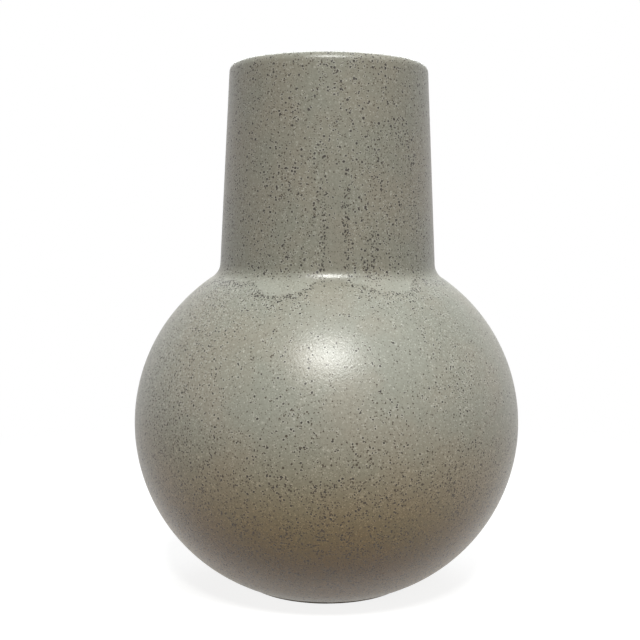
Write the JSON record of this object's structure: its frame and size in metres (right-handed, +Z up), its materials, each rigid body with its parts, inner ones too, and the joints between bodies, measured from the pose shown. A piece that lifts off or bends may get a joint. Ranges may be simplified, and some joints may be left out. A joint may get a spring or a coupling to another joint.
{
  "type": "bottle vase",
  "caption": "Stoneware bottle vase for cut stems: round body, wide tapered neck with a round lip, smooth shoulder cove and low foot ring, speckled glaze outside and plain liner inside.",
  "frame": {"origin": "centre of the foot ring's underside, on the table", "axes": "+Z up along the vase's axis; the pictured side faces -Y"},
  "size_m": [0.186, 0.186, 0.25],
  "materials": {
    "stoneware": "bare fired stoneware",
    "slip": "bare fired slip",
    "speckled_glaze": "satin, speckled",
    "liner_glaze": "gloss"
  },
  "bodies": {
    "root": {"globe": "stoneware", "neck": "stoneware", "neck_slip": "slip", "shoulder_coil": "stoneware", "foot_ring": "stoneware", "foot_slip": "slip", "outer_glaze": "speckled_glaze", "liner_glaze": "liner_glaze"}
  },
  "joints": []
}
